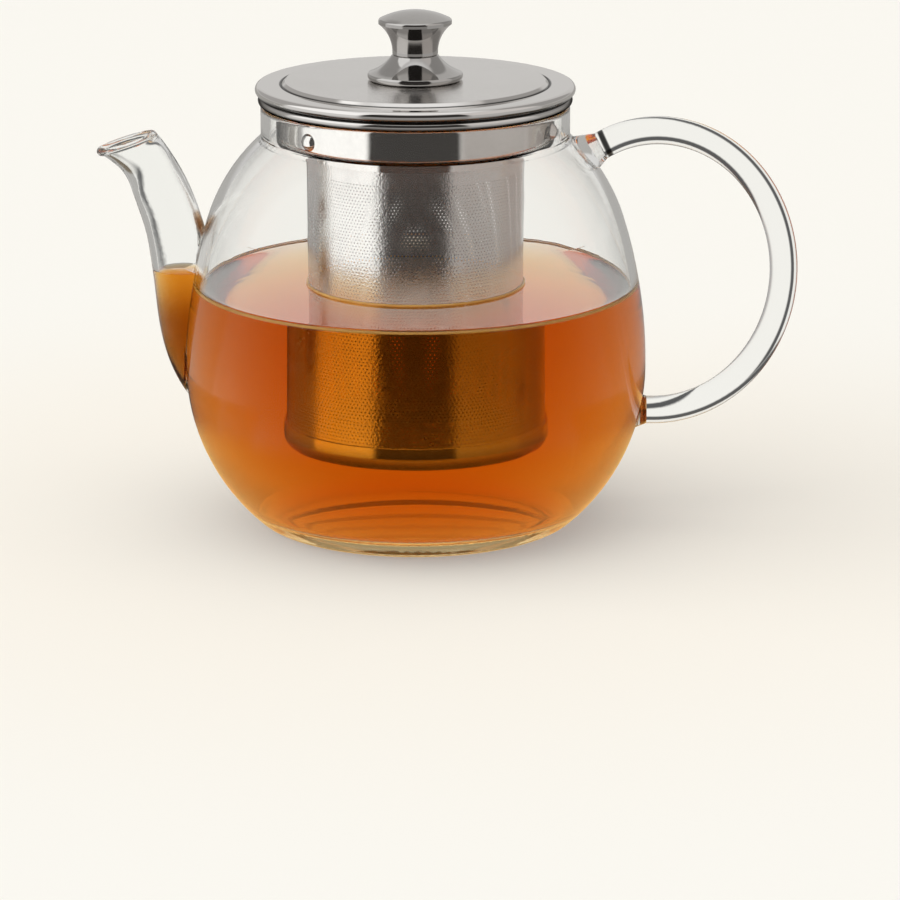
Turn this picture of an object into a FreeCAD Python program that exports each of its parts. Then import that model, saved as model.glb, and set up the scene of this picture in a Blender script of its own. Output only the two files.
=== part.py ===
"""Glass teapot with a lift-out steel infuser and a steel lid, as separate pieces.

Millimetres, +Z up. The origin is the centre of the base, on the table.
The spout points along -X and the handle along +X.
"""

import FreeCAD, Part
import math
import os

from FreeCAD import Rotation, Vector

# Glass body, outside
BODY_RADIUS = 66.4
WIDEST_HEIGHT = 45.0
BOWL_ARC = 58.5
SIDE_ARC = 142.0
SHOULDER_HEIGHT = 88.0
SHOULDER_ARC = 53.0
NECK_RADIUS = 44.0
NECK_LENGTH = 9.3
NECK_BLEND = 2.5
GLASS_WALL = 2.4
BASE_THICKNESS = 6.0
BASE_EDGE_ROUND = 6.0
FLOOR_EDGE_ROUND = 7.0
RIM_ROUND = 1.1

# Spout: points of its centre line, as (distance beyond the widest radius, height)
SPOUT_LINE = [(-9.0, 42.0), (-3.0, 54.0), (-0.2, 70.0), (3.6, 88.5), (12.4, 107.3)]
SPOUT_ROOT_RADIUS = 10.4
SPOUT_MOUTH_RADIUS = 7.3
SPOUT_WALL = 1.7
SPOUT_BORE_OVERSHOOT = 1.0
SPOUT_SECTIONS = 8
SPOUT_LIP_TILT = 18.0
SPOUT_LIP_RISE = 2.6
SPOUT_LIP_REACH = 8.7
SPOUT_LIP_FORWARD = 3.3
SPOUT_HOLE_RADIUS = 8.0
SPOUT_HOLE_HEIGHT = 57.0

# Handle: a bent glass rod, its loop half an ellipse
HANDLE_ROD_RADIUS = 4.0
HANDLE_REACH = 36.8
HANDLE_RISE = 41.2
HANDLE_CENTRE_OUT = 2.6
HANDLE_CENTRE_HEIGHT = 72.3
HANDLE_TOP_BEND = 31.1
HANDLE_TOP_TURN = 52.0
HANDLE_FLARE_START = 1.4
HANDLE_FLARE_LENGTH = 7.0
HANDLE_FLARE_RADIUS = 6.4
HANDLE_FLARE_SINK = 0.4
HANDLE_FLARE_TURN = 29.5

# Infuser
COLLAR_GAP = 2.0
COLLAR_DEPTH = 11.1
COLLAR_SHEET = 0.8
COLLAR_EDGE_ROUND = 2.2
COLLAR_SOCKET_DEPTH = 3.0
FLANGE_OVERHANG = 0.7
FLANGE_BEAD = 2.8
SEAT_GAP = 0.1
PIP_COUNT = 3
PIP_ANGLE = 223.2
PIP_RADIUS = 2.5
PIP_HEIGHT = 1.3
PIP_DROP = 5.8
BASKET_RADIUS = 30.9
BASKET_SHEET = 0.5
BASKET_DEPTH = 85.7
BASKET_EDGE_ROUND = 3.4
BASKET_RING_SHEET = 0.6
BASKET_RING_HEIGHT = 6.0
BASKET_RING_LIP = 5.0
MESH_FIT = 0.1
HOLE_RADIUS = 1.0
HOLE_PITCH = 6.4
HOLE_MARGIN = 6.0

# Lid
LID_OVERHANG = 0.8
LID_BEAD = 2.9
LID_SHEET = 0.8
LID_PLATEAU_RADIUS = 36.9
LID_PLATEAU_RISE = 1.0
LID_RAMP = 1.0
LID_STEP_ROUND = 0.45
LID_GROOVE_WIDTH = 0.6
LID_GROOVE_DEPTH = 0.45
SKIRT_GAP = 0.6
SKIRT_SHEET = 0.6
SKIRT_DEPTH = 8.5
SKIRT_FLANGE = 3.4

# Knob and its screw
KNOB_FOOT_RADIUS = 13.6
KNOB_FOOT_EDGE = 1.2
KNOB_FOOT_EDGE_TURN = 40.0
KNOB_FOOT_HEIGHT = 7.2
KNOB_FOOT_HOLLOW = 0.7
KNOB_WAIST_RADIUS = 6.5
KNOB_SEAM_ROUND = 0.35
KNOB_GRIP_HEIGHT = 12.6
KNOB_GRIP_RADIUS = 10.4
KNOB_GRIP_HOLLOW = 1.2
KNOB_CROWN = 2.6
KNOB_BAND = 1.2
KNOB_EDGE_ROUND = 0.8
SCREW_RADIUS = 2.0
SCREW_FIT = 0.1
SCREW_BITE = 8.0
SCREW_HEAD_RADIUS = 3.8
SCREW_HEAD_HEIGHT = 2.4
SCREW_SLOT_WIDTH = 1.0
SCREW_SLOT_SPAN = 1.4
SCREW_SLOT_DEPTH = 1.2
WASHER_RADIUS = 5.5
WASHER_THICKNESS = 0.8

# Heights and radii that follow from the sizes above
BODY_BOWL_CENTRE = BODY_RADIUS - BOWL_ARC
BODY_SIDE_CENTRE = BODY_RADIUS - SIDE_ARC
SHOULDER_LEAN = math.asin((SHOULDER_HEIGHT - WIDEST_HEIGHT) / SIDE_ARC)
SHOULDER_CENTRE_R = BODY_SIDE_CENTRE + (SIDE_ARC - SHOULDER_ARC) * math.cos(SHOULDER_LEAN)
SHOULDER_CENTRE_Z = SHOULDER_HEIGHT - SHOULDER_ARC * math.sin(SHOULDER_LEAN)
NECK_BORE = NECK_RADIUS - GLASS_WALL
NECK_FOOT_Z = SHOULDER_CENTRE_Z + math.sqrt(SHOULDER_ARC**2 - (NECK_RADIUS - SHOULDER_CENTRE_R) ** 2)
RIM_Z = NECK_FOOT_Z + NECK_LENGTH

COLLAR_RADIUS = NECK_BORE - COLLAR_GAP
COLLAR_BORE = COLLAR_RADIUS - COLLAR_SHEET
FLANGE_RADIUS = NECK_RADIUS + FLANGE_OVERHANG
FLANGE_BOTTOM_Z = RIM_Z + SEAT_GAP
FLANGE_TOP_Z = FLANGE_BOTTOM_Z + FLANGE_BEAD
COLLAR_FLOOR_Z = RIM_Z - COLLAR_DEPTH
BASKET_BOTTOM_Z = COLLAR_FLOOR_Z - BASKET_DEPTH
BASKET_BORE = BASKET_RADIUS - BASKET_SHEET
RING_RADIUS = BASKET_RADIUS + BASKET_RING_SHEET
RING_TOP_Z = BASKET_BOTTOM_Z + BASKET_RING_HEIGHT
MESH_FLOOR_Z = BASKET_BOTTOM_Z + BASKET_RING_SHEET

LID_RADIUS = FLANGE_RADIUS + LID_OVERHANG
LID_BOTTOM_Z = FLANGE_TOP_Z + SEAT_GAP
LID_TOP_Z = LID_BOTTOM_Z + LID_BEAD
PLATEAU_Z = LID_TOP_Z + LID_PLATEAU_RISE
SKIRT_RADIUS = COLLAR_BORE - SKIRT_GAP
SKIRT_TOP_Z = LID_TOP_Z - LID_SHEET
KNOB_SEAM_Z = PLATEAU_Z + KNOB_FOOT_HEIGHT
KNOB_TOP_Z = KNOB_SEAM_Z + KNOB_GRIP_HEIGHT
SCREW_HOLE = SCREW_RADIUS + SCREW_FIT
SCREW_SEAT_Z = PLATEAU_Z - LID_SHEET - WASHER_THICKNESS


def at(r, z):
    """The point at radius r and height z in the XZ plane."""
    return Vector(r, 0, z)


def lines(*points):
    """Straight edges through the points."""
    places = [at(*p) for p in points]
    return [Part.makeLine(a, b) for a, b in zip(places, places[1:])]


def arc(start, middle, end):
    """One circular edge through three points."""
    return Part.Arc(at(*start), at(*middle), at(*end)).toShape()


def on_circle(centre, radius, degrees):
    """The point of a circle in the XZ plane at an angle up from +X."""
    turn = math.radians(degrees)
    return (centre[0] + radius * math.cos(turn), centre[1] + radius * math.sin(turn))


def hollow_arc(start, end, sag):
    """A circular edge between two points that bends by sag towards the axis."""
    across, up = end[0] - start[0], end[1] - start[1]
    length = math.hypot(across, up)
    middle = ((start[0] + end[0]) / 2, (start[1] + end[1]) / 2)
    side = (-abs(up) / length, math.copysign(across / length, across * up))
    return arc(start, (middle[0] + sag * side[0], middle[1] + sag * side[1]), end)


def swing(centre, radius, first, last):
    """A circular edge about a centre between two angles, in degrees."""
    return arc(*(on_circle(centre, radius, a) for a in (first, (first + last) / 2, last)))


def lathe(edges):
    """The solid that a closed outline in the XZ plane sweeps round Z, its seam on +Y, off spout and handle."""
    outline = Part.Face(Part.Wire(Part.__sortEdges__(edges)))
    solid = outline.revolve(Vector(0, 0, 0), Vector(0, 0, 1), 360)
    return solid.rotate(Vector(0, 0, 0), Vector(0, 0, 1), 90)


def ring(inner, outer, low, high):
    """A plain ring or, with inner 0, a disc."""
    corners = (inner, low), (outer, low), (outer, high), (inner, high), (inner, low)
    return lathe(lines(*corners))


def round_edge(solid, radius, height, size):
    """Fillets the circular edges of a turned solid at one radius and height."""
    rings = [e for e in solid.Edges if not e.Degenerated and isinstance(e.Curve, Part.Circle)]
    level = [e for e in rings if abs(e.Curve.Center.z - height) < 0.01 and abs(e.Curve.Axis.z) > 0.99]
    return solid.makeFillet(size, [e for e in level if abs(e.Curve.Radius - radius) < 0.01])


def body_form(inset, floor):
    """The turned form of the body, its wall set in by inset and cut flat at floor."""
    bowl, side, shoulder = BOWL_ARC - inset, SIDE_ARC - inset, SHOULDER_ARC - inset
    neck = NECK_RADIUS - inset
    bowl_start = -math.degrees(math.asin((WIDEST_HEIGHT - floor) / bowl))
    lean = math.degrees(SHOULDER_LEAN)
    shoulder_end = math.degrees(math.acos((neck - SHOULDER_CENTRE_R) / shoulder))
    edge_r = BODY_BOWL_CENTRE + bowl * math.cos(math.radians(bowl_start))
    neck_z = SHOULDER_CENTRE_Z + shoulder * math.sin(math.radians(shoulder_end))
    form = lathe([
        *lines((0, floor), (edge_r, floor)),
        swing((BODY_BOWL_CENTRE, WIDEST_HEIGHT), bowl, bowl_start, 0),
        swing((BODY_SIDE_CENTRE, WIDEST_HEIGHT), side, 0, lean),
        swing((SHOULDER_CENTRE_R, SHOULDER_CENTRE_Z), shoulder, lean, shoulder_end),
        *lines((neck, neck_z), (neck, RIM_Z), (0, RIM_Z), (0, floor)),
    ])
    form = round_edge(form, neck, neck_z, NECK_BLEND)
    return round_edge(form, edge_r, floor, FLOOR_EDGE_ROUND if inset else BASE_EDGE_ROUND)


def glass_body():
    """Blown vessel: a thick flat base, one even wall and a fire-polished rim."""
    shell = body_form(0, 0).cut(body_form(GLASS_WALL, BASE_THICKNESS))
    for radius in (NECK_RADIUS, NECK_BORE):
        shell = round_edge(shell, radius, RIM_Z, RIM_ROUND)
    start = Vector(0, 0, SPOUT_HOLE_HEIGHT)
    hole = Part.makeCylinder(SPOUT_HOLE_RADIUS, BODY_RADIUS, start, Vector(-1, 0, 0))
    return shell.cut(hole)


def spout_form(inset, overshoot):
    """The horn of the spout as a loft of circles on its centre line, ending in a drawn-out lip."""
    line = Part.BSplineCurve()
    line.interpolate([at(-BODY_RADIUS - out, z) for out, z in SPOUT_LINE])
    first, last = line.FirstParameter, line.LastParameter
    sections = []
    for step in range(SPOUT_SECTIONS):
        share = step / (SPOUT_SECTIONS - 1)
        place = first + (last - first) * share
        radius = SPOUT_ROOT_RADIUS + (SPOUT_MOUTH_RADIUS - SPOUT_ROOT_RADIUS) * share - inset
        lean = line.tangent(place)[0]
        sections.append(slanted_ellipse(line.value(place), lean, radius, radius))
    tilt = math.radians(SPOUT_LIP_TILT)
    lip_axis = Vector(-math.sin(tilt), 0, math.cos(tilt))
    lip = line.value(last) + Vector(-SPOUT_LIP_FORWARD, 0, SPOUT_LIP_RISE)
    reach, width = SPOUT_LIP_REACH - inset, SPOUT_MOUTH_RADIUS - inset
    sections.append(slanted_ellipse(lip, lip_axis, reach, width))
    if overshoot:
        sections.append(slanted_ellipse(lip + lip_axis * overshoot, lip_axis, reach + overshoot, width))
    return Part.makeLoft(sections, True)


def slanted_ellipse(centre, axis, reach, width):
    """A closed ellipse square to axis: reach in the XZ plane, width along Y."""
    across = Vector(0, 1, 0).cross(axis).normalize()
    curve = Part.BSplineCurve()
    turns = [math.radians(a) for a in range(0, 360, 30)]
    points = [centre + across * (reach * math.cos(t)) + Vector(0, width * math.sin(t), 0) for t in turns]
    curve.interpolate(points, True)
    return Part.Wire(curve.toShape())


def spout():
    """Glass spout: a tapered tube whose root is cut to the body's outside."""
    return spout_form(0, 0).cut(spout_form(SPOUT_WALL, SPOUT_BORE_OVERSHOOT)).cut(body_form(0, 0))


def handle():
    """Bent glass rod with a flared weld at each end, cut to the body's outside."""
    centre_x = BODY_RADIUS + HANDLE_CENTRE_OUT
    top_z, foot_z = HANDLE_CENTRE_HEIGHT + HANDLE_RISE, HANDLE_CENTRE_HEIGHT - HANDLE_RISE
    stretch = FreeCAD.Matrix()
    stretch.scale(HANDLE_REACH, 1, HANDLE_RISE)
    stretch.move(at(centre_x, HANDLE_CENTRE_HEIGHT))
    loop = swing((0, 0), 1, 90, -90).transformGeometry(stretch)
    bend = (centre_x, top_z - HANDLE_TOP_BEND)
    edges = [
        swing(bend, HANDLE_TOP_BEND, 90 + HANDLE_TOP_TURN, 90),
        loop,
        *lines((centre_x, foot_z), (BODY_RADIUS - HANDLE_FLARE_LENGTH, foot_z)),
    ]
    start = at(*on_circle(bend, HANDLE_TOP_BEND, 90 + HANDLE_TOP_TURN))
    heading = edges[0].tangentAt(edges[0].FirstParameter)
    section = Part.Wire(Part.makeCircle(HANDLE_ROD_RADIUS, start, heading))
    rod = Part.Wire(edges).makePipeShell([section], True, False)
    top_weld = on_circle(bend, HANDLE_TOP_BEND, 90 + HANDLE_FLARE_TURN)
    inward = math.radians(180 + HANDLE_FLARE_TURN)
    rod = rod.fuse(flare(at(*top_weld), at(math.cos(inward), math.sin(inward))))
    rod = rod.fuse(flare(at(BODY_RADIUS + HANDLE_FLARE_START, foot_z), Vector(-1, 0, 0)))
    return rod.cut(body_form(0, 0)).removeSplitter()


def flare(start, direction):
    """A cone that starts just inside the rod and widens it towards the body."""
    tip = HANDLE_ROD_RADIUS - HANDLE_FLARE_SINK
    return Part.makeCone(tip, HANDLE_FLARE_RADIUS, HANDLE_FLARE_LENGTH, start, direction)


def infuser_collar():
    """Pressed collar: a rolled flange on the glass rim, a band in the neck and a floor with a socket."""
    bead = FLANGE_BEAD / 2
    bead_r, bead_z = FLANGE_RADIUS - bead, FLANGE_BOTTOM_Z + bead
    floor_top = COLLAR_FLOOR_Z + COLLAR_SHEET
    socket = BASKET_RADIUS + COLLAR_SHEET
    socket_z = COLLAR_FLOOR_Z - COLLAR_SOCKET_DEPTH
    shell = lathe([
        arc((bead_r, FLANGE_TOP_Z), (FLANGE_RADIUS, bead_z), (bead_r, FLANGE_BOTTOM_Z)),
        *lines((bead_r, FLANGE_BOTTOM_Z), (bead_r, FLANGE_TOP_Z - COLLAR_SHEET),
               (COLLAR_RADIUS, FLANGE_TOP_Z - COLLAR_SHEET), (COLLAR_RADIUS, COLLAR_FLOOR_Z),
               (socket, COLLAR_FLOOR_Z), (socket, socket_z), (BASKET_RADIUS, socket_z),
               (BASKET_RADIUS, floor_top), (COLLAR_BORE, floor_top), (COLLAR_BORE, FLANGE_TOP_Z),
               (bead_r, FLANGE_TOP_Z)),
    ])
    shell = round_edge(shell, COLLAR_RADIUS, COLLAR_FLOOR_Z, COLLAR_EDGE_ROUND)
    shell = round_edge(shell, COLLAR_BORE, floor_top, COLLAR_EDGE_ROUND - COLLAR_SHEET)
    for turn in range(PIP_COUNT):
        shell = press_pip(shell, PIP_ANGLE + turn * 360 / PIP_COUNT)
    return shell


def press_pip(shell, degrees):
    """Presses one round centring pip outwards through the collar's band."""
    dome = (PIP_RADIUS**2 + PIP_HEIGHT**2) / (2 * PIP_HEIGHT)
    turn = math.radians(degrees)
    out = Vector(math.cos(turn), math.sin(turn), 0)
    centre = out * (COLLAR_RADIUS + PIP_HEIGHT - dome) + Vector(0, 0, RIM_Z - PIP_DROP)
    mouth = Part.makeCylinder(PIP_RADIUS, COLLAR_RADIUS, centre, out)
    bump = Part.makeSphere(dome, centre).common(mouth)
    hollow = Part.makeSphere(dome - COLLAR_SHEET, centre).common(mouth)
    bore = ring(0, COLLAR_BORE, COLLAR_FLOOR_Z, FLANGE_TOP_Z)
    return shell.fuse(bump.cut(bore)).cut(hollow).removeSplitter()


def mesh_holes():
    """Short radial cylinders for the wall's holes, in staggered rows."""
    columns = int(2 * math.pi * BASKET_RADIUS / HOLE_PITCH)
    low = RING_TOP_Z + HOLE_MARGIN
    high = COLLAR_FLOOR_Z - COLLAR_SOCKET_DEPTH - HOLE_MARGIN
    rows = int((high - low) / HOLE_PITCH) + 1
    cutters = []
    for row in range(rows):
        z = low + row * (high - low) / (rows - 1)
        for column in range(columns):
            turn = 2 * math.pi * (column + 0.5 * (row % 2)) / columns
            out = Vector(math.cos(turn), math.sin(turn), 0)
            start = out * (BASKET_BORE - BASKET_SHEET) + Vector(0, 0, z)
            cutters.append(Part.makeCylinder(HOLE_RADIUS, 3 * BASKET_SHEET, start, out))
    return cutters


def infuser_wall():
    """Perforated tube, seated in the collar's socket and in the bottom ring."""
    wall = ring(BASKET_BORE, BASKET_RADIUS, MESH_FLOOR_Z + BASKET_EDGE_ROUND, COLLAR_FLOOR_Z + COLLAR_SHEET)
    return wall.cut(mesh_holes())


def infuser_bottom_ring():
    """Pressed ring that closes the tube's lower edge and carries the bottom mesh."""
    lip = RING_RADIUS - BASKET_RING_LIP
    corner = BASKET_EDGE_ROUND
    shell = ring(0, RING_RADIUS, BASKET_BOTTOM_Z, RING_TOP_Z)
    shell = round_edge(shell, RING_RADIUS, BASKET_BOTTOM_Z, corner)
    hollow = ring(0, BASKET_RADIUS, MESH_FLOOR_Z, RING_TOP_Z)
    hollow = round_edge(hollow, BASKET_RADIUS, MESH_FLOOR_Z, corner - BASKET_RING_SHEET)
    return shell.cut(hollow).cut(ring(0, lip, BASKET_BOTTOM_Z, RING_TOP_Z))


def infuser_bottom_mesh():
    """Perforated disc that lies in the bottom ring."""
    radius = BASKET_RADIUS - BASKET_EDGE_ROUND - MESH_FIT
    plate = ring(0, radius, MESH_FLOOR_Z, MESH_FLOOR_Z + BASKET_SHEET)
    field = RING_RADIUS - BASKET_RING_LIP - HOLE_PITCH / 2
    cutters = []
    for row in range(1, int(field / HOLE_PITCH) + 1):
        count = 6 * row
        for step in range(count):
            spin = Rotation(Vector(0, 0, 1), 360 * step / count)
            place = spin.multVec(Vector(row * HOLE_PITCH, 0, MESH_FLOOR_Z))
            cutters.append(Part.makeCylinder(HOLE_RADIUS, BASKET_SHEET, place))
    return plate.cut(cutters)


def lid_top():
    """Pressed lid: a rolled rim, a flat ring, a groove and a raised plateau with the knob's hole."""
    bead = LID_BEAD / 2
    bead_r = LID_RADIUS - bead
    step_r = LID_PLATEAU_RADIUS
    groove_r = step_r + LID_RAMP
    under = PLATEAU_Z - LID_SHEET
    shell = lathe([
        arc((bead_r, LID_TOP_Z), (LID_RADIUS, LID_TOP_Z - bead), (bead_r, LID_BOTTOM_Z)),
        *lines((bead_r, LID_BOTTOM_Z), (bead_r, SKIRT_TOP_Z), (step_r - LID_SHEET, SKIRT_TOP_Z),
               (step_r - LID_SHEET, under), (SCREW_HOLE, under), (SCREW_HOLE, PLATEAU_Z),
               (step_r, PLATEAU_Z), (groove_r, LID_TOP_Z),
               (groove_r + LID_GROOVE_WIDTH / 2, LID_TOP_Z - LID_GROOVE_DEPTH),
               (groove_r + LID_GROOVE_WIDTH, LID_TOP_Z), (bead_r, LID_TOP_Z)),
    ])
    return round_edge(shell, step_r, PLATEAU_Z, LID_STEP_ROUND)


def lid_skirt():
    """Ring under the lid whose wall drops into the collar and centres the lid."""
    flange_r = SKIRT_RADIUS + SKIRT_FLANGE
    flange_z = SKIRT_TOP_Z - SKIRT_SHEET
    foot_z = FLANGE_TOP_Z - SKIRT_DEPTH
    bore = SKIRT_RADIUS - SKIRT_SHEET
    return lathe(lines(
        (bore, foot_z), (SKIRT_RADIUS, foot_z), (SKIRT_RADIUS, flange_z), (flange_r, flange_z),
        (flange_r, SKIRT_TOP_Z), (bore, SKIRT_TOP_Z), (bore, foot_z)))


def knob_foot():
    """Flared foot of the knob: a hollow-sided cone with a round edge, stopped at the seam."""
    edge = KNOB_FOOT_EDGE
    centre = (KNOB_FOOT_RADIUS - edge, PLATEAU_Z + edge)
    edge_top = on_circle(centre, edge, KNOB_FOOT_EDGE_TURN)
    foot = lathe([
        swing(centre, edge, -90, KNOB_FOOT_EDGE_TURN),
        *lines((centre[0], PLATEAU_Z), (SCREW_HOLE, PLATEAU_Z), (SCREW_HOLE, KNOB_SEAM_Z),
               (KNOB_WAIST_RADIUS, KNOB_SEAM_Z)),
        hollow_arc((KNOB_WAIST_RADIUS, KNOB_SEAM_Z), edge_top, KNOB_FOOT_HOLLOW),
    ])
    return round_edge(foot, KNOB_WAIST_RADIUS, KNOB_SEAM_Z, KNOB_SEAM_ROUND)


def knob_grip():
    """Turned grip: a waist that flares to a rounded head, bored for the screw."""
    shoulder_z = KNOB_TOP_Z - KNOB_CROWN - KNOB_BAND
    crown_z = KNOB_TOP_Z - KNOB_CROWN
    waist_r = KNOB_WAIST_RADIUS
    dome = (KNOB_GRIP_RADIUS**2 + KNOB_CROWN**2) / (2 * KNOB_CROWN)
    dome_start = math.degrees(math.acos(KNOB_GRIP_RADIUS / dome))
    grip = lathe([
        hollow_arc((waist_r, KNOB_SEAM_Z), (KNOB_GRIP_RADIUS, shoulder_z), KNOB_GRIP_HOLLOW),
        *lines((KNOB_GRIP_RADIUS, shoulder_z), (KNOB_GRIP_RADIUS, crown_z)),
        swing((0, KNOB_TOP_Z - dome), dome, dome_start, 90),
        *lines((0, KNOB_TOP_Z), (0, KNOB_SEAM_Z + SCREW_BITE + SCREW_FIT),
               (SCREW_HOLE, KNOB_SEAM_Z + SCREW_BITE + SCREW_FIT), (SCREW_HOLE, KNOB_SEAM_Z),
               (waist_r, KNOB_SEAM_Z)),
    ])
    grip = round_edge(grip, waist_r, KNOB_SEAM_Z, KNOB_SEAM_ROUND)
    return round_edge(grip, KNOB_GRIP_RADIUS, crown_z, KNOB_EDGE_ROUND)


def knob_washer():
    """Flat washer between the screw's head and the lid."""
    return ring(SCREW_HOLE, WASHER_RADIUS, SCREW_SEAT_Z, SCREW_SEAT_Z + WASHER_THICKNESS)


def knob_screw():
    """Pan-head screw up through the lid into the knob, with a cross slot."""
    head_z = SCREW_SEAT_Z - SCREW_HEAD_HEIGHT
    head = ring(0, SCREW_HEAD_RADIUS, head_z, SCREW_SEAT_Z)
    screw = head.fuse(ring(0, SCREW_RADIUS, SCREW_SEAT_Z, KNOB_SEAM_Z + SCREW_BITE)).removeSplitter()
    for turn in (0, 90):
        length = SCREW_SLOT_SPAN * SCREW_HEAD_RADIUS
        slot = Part.makeBox(length, SCREW_SLOT_WIDTH, SCREW_SLOT_DEPTH)
        slot.translate(Vector(-length / 2, -SCREW_SLOT_WIDTH / 2, head_z))
        slot.rotate(Vector(0, 0, 0), Vector(0, 0, 1), turn)
        screw = screw.cut(slot)
    return screw


PIECES = [
    glass_body, spout, handle,
    infuser_collar, infuser_wall, infuser_bottom_ring, infuser_bottom_mesh,
    lid_top, lid_skirt, knob_foot, knob_grip, knob_washer, knob_screw,
]


def main():
    os.makedirs("parts", exist_ok=True)
    for piece in PIECES:
        solid = piece()
        solid.exportStep(f"parts/{piece.__name__}.step")
        print(f"{piece.__name__}: {len(solid.Solids)} solid, valid {solid.isValid()}, {solid.Volume:.1f} mm3")


main()
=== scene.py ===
"""Looks of a glass teapot: clear glass, polished steel, a fine perforated infuser and amber tea."""

import math

import bpy
import numpy as np
from bpy.props import FloatProperty, FloatVectorProperty, PointerProperty
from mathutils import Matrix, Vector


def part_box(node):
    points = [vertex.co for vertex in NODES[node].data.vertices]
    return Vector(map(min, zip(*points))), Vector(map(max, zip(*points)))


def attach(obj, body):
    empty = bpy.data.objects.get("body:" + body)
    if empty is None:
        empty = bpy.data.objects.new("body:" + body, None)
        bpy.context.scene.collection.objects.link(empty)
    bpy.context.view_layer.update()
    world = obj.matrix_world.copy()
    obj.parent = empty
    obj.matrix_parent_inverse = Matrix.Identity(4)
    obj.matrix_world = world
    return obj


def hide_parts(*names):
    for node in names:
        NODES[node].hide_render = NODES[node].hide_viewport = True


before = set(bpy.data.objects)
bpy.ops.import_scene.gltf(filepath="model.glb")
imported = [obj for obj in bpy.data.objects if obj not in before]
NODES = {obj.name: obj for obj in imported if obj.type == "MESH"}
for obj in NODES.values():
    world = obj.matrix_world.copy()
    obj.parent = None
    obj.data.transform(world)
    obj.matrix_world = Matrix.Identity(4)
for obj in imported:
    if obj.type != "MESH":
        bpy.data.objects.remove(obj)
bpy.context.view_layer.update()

bl_info = {
    "name": "Glass Teapot Looks",
    "version": (1, 0, 0),
    "blender": (4, 5, 0),
    "location": "3D View > Sidebar > Teapot",
    "description": "Dresses the packed glass teapot with glass, steel, a perforated infuser and tea",
    "category": "Object",
}

# Sizes shared with the solids, in metres. SPOUT_LINE is the spout's middle as (reach past the belly, height),
# SPOUT_RADII its half widths at root and mouth, and SPOUT_HOLE the height and radius of the hole behind it.
BODY_RADIUS = 0.0664
WIDEST_HEIGHT = 0.045
BOWL_ARC = 0.0585
SIDE_ARC = 0.142
GLASS_WALL = 0.0024
BASE_THICKNESS = 0.006
FLOOR_ROUND = 0.007
SPOUT_LINE = np.array([
    (-0.009, 0.042), (-0.003, 0.054), (-0.0002, 0.070), (0.0036, 0.0885), (0.0124, 0.1073)])
SPOUT_RADII = (0.0104, 0.0073)
SPOUT_WALL = 0.0017
SPOUT_HOLE = (0.057, 0.008)
MOUTH_TILT = math.radians(18.0)
MOUTH_FORWARD = 0.0033
MOUTH_RISE = 0.0026
MOUTH_REACH = 0.0087
ROD_WIDTH = 0.008
COLLAR_SHEET = 0.0008
LID_GROOVE = (0.0379, 0.0385)
BASKET_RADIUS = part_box("infuser_wall")[1].x
BASKET_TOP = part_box("infuser_wall")[1].z
RING_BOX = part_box("infuser_bottom_ring")
MESH_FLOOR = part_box("infuser_bottom_mesh")[1].z
GLASS_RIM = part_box("glass_body")[1].z
LID_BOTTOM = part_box("lid_top")[0].z
COLLAR_FLOOR = BASKET_TOP - COLLAR_SHEET

# Sizes of the pieces made here, in metres
SPOUT_TEA_FLOOR = 0.0378
LIP_BEAD = SPOUT_WALL * 0.55
SHEET_LAP = 0.0005
PLAIN_BAND = 0.006
BAND_LAP = 0.0008
BAND_PROUD = 0.00004
MESH_INSET = 0.0041

# How much the lip's bead swells at the pouring tip, as a share, and the steps round each ring
LIP_SWELL = 0.35
TEA_STEPS = 256
RING_STEPS = 192
LIP_STEPS = 160
BEAD_STEPS = 17

# Points nearer than this are one point, on rings and on perforated sheets
RING_JOIN = 1e-7
SHEET_JOIN = 1e-6

# Heights between which the base is painted with amber light from the tea, and depths of the tea's glossy skin
BASE_GLOW = (BASE_THICKNESS + 0.003, BASE_THICKNESS - 0.001)
TEA_SKIN = (0.0004, 0.0002)

# Tints of the tea's wall, the height over which the pot's comes in, and the tones of the painted highlight at
# its edge.
# The spout's tint is painted shade, darker towards the bottom of its tea.
POT_TINT_FROM = 0.03
POT_TINT = (0.78, 0.66, 0.55)
SPOUT_SHADE_TINT = (0.42, 0.28, 0.2)
CLEAR = (1, 1, 1)
TEA_EDGE_HIGHLIGHT_TONES = ((0.93, 0.56, 0.16), (0.72, 0.30, 0.05))

# Painted shade under the collar's floor, the flange and the lid's rim, darker towards the ring's bottom, and
# in the lid's groove: its tone, the blur at its foot, and how high over the foot it is full and gone
PAINTED_SHADE_TONE = (0.06, 0.058, 0.055)
SHADE_SOFT = 0.0001
COLLAR_SHADE = (0.0015, 0.0028)
FLANGE_SHADE = (0.0008, 0.0016)
LID_SHADE = (0.0005, 0.0013)

# The lid: blur of the painted shade in the groove and round the satin middle, and roughness of the polished
# rim
GROOVE_SOFT = 0.0003
SATIN_SOFT = 0.0004
RIM_POLISH = 0.05

# Handling marks: how much finer the fine ones are, their share, the noise at which smears start and are full,
# and how bright smeared steel stays
MARKS_FINER = 14.0
MARKS_FINE_SHARE = 0.3
MARKS_RANGE = (0.38, 0.68)
SMEARED_STEEL = 0.93

# Painted shade at the glass welds, dark or amber-brown, as (tone, centre, half sizes, lean in degrees), and
# the share of those sizes that is fully toned
WELD_SHADE_CORE = 0.6
SPOUT_WELD_SHADE = (((0.40, 0.23, 0.12), (-0.0610, 0, 0.0870), (0.0030, 0.006, 0.0050), 0),)
HANDLE_WELD_SHADES = (
    ((0.04, 0.04, 0.04), (0.0539, 0, 0.1101), (0.0010, 0.03, 0.010), -25),
    ((0.28, 0.12, 0.04), (0.0656, 0, 0.0315), (0.0012, 0.03, 0.010), 0),
)


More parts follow.
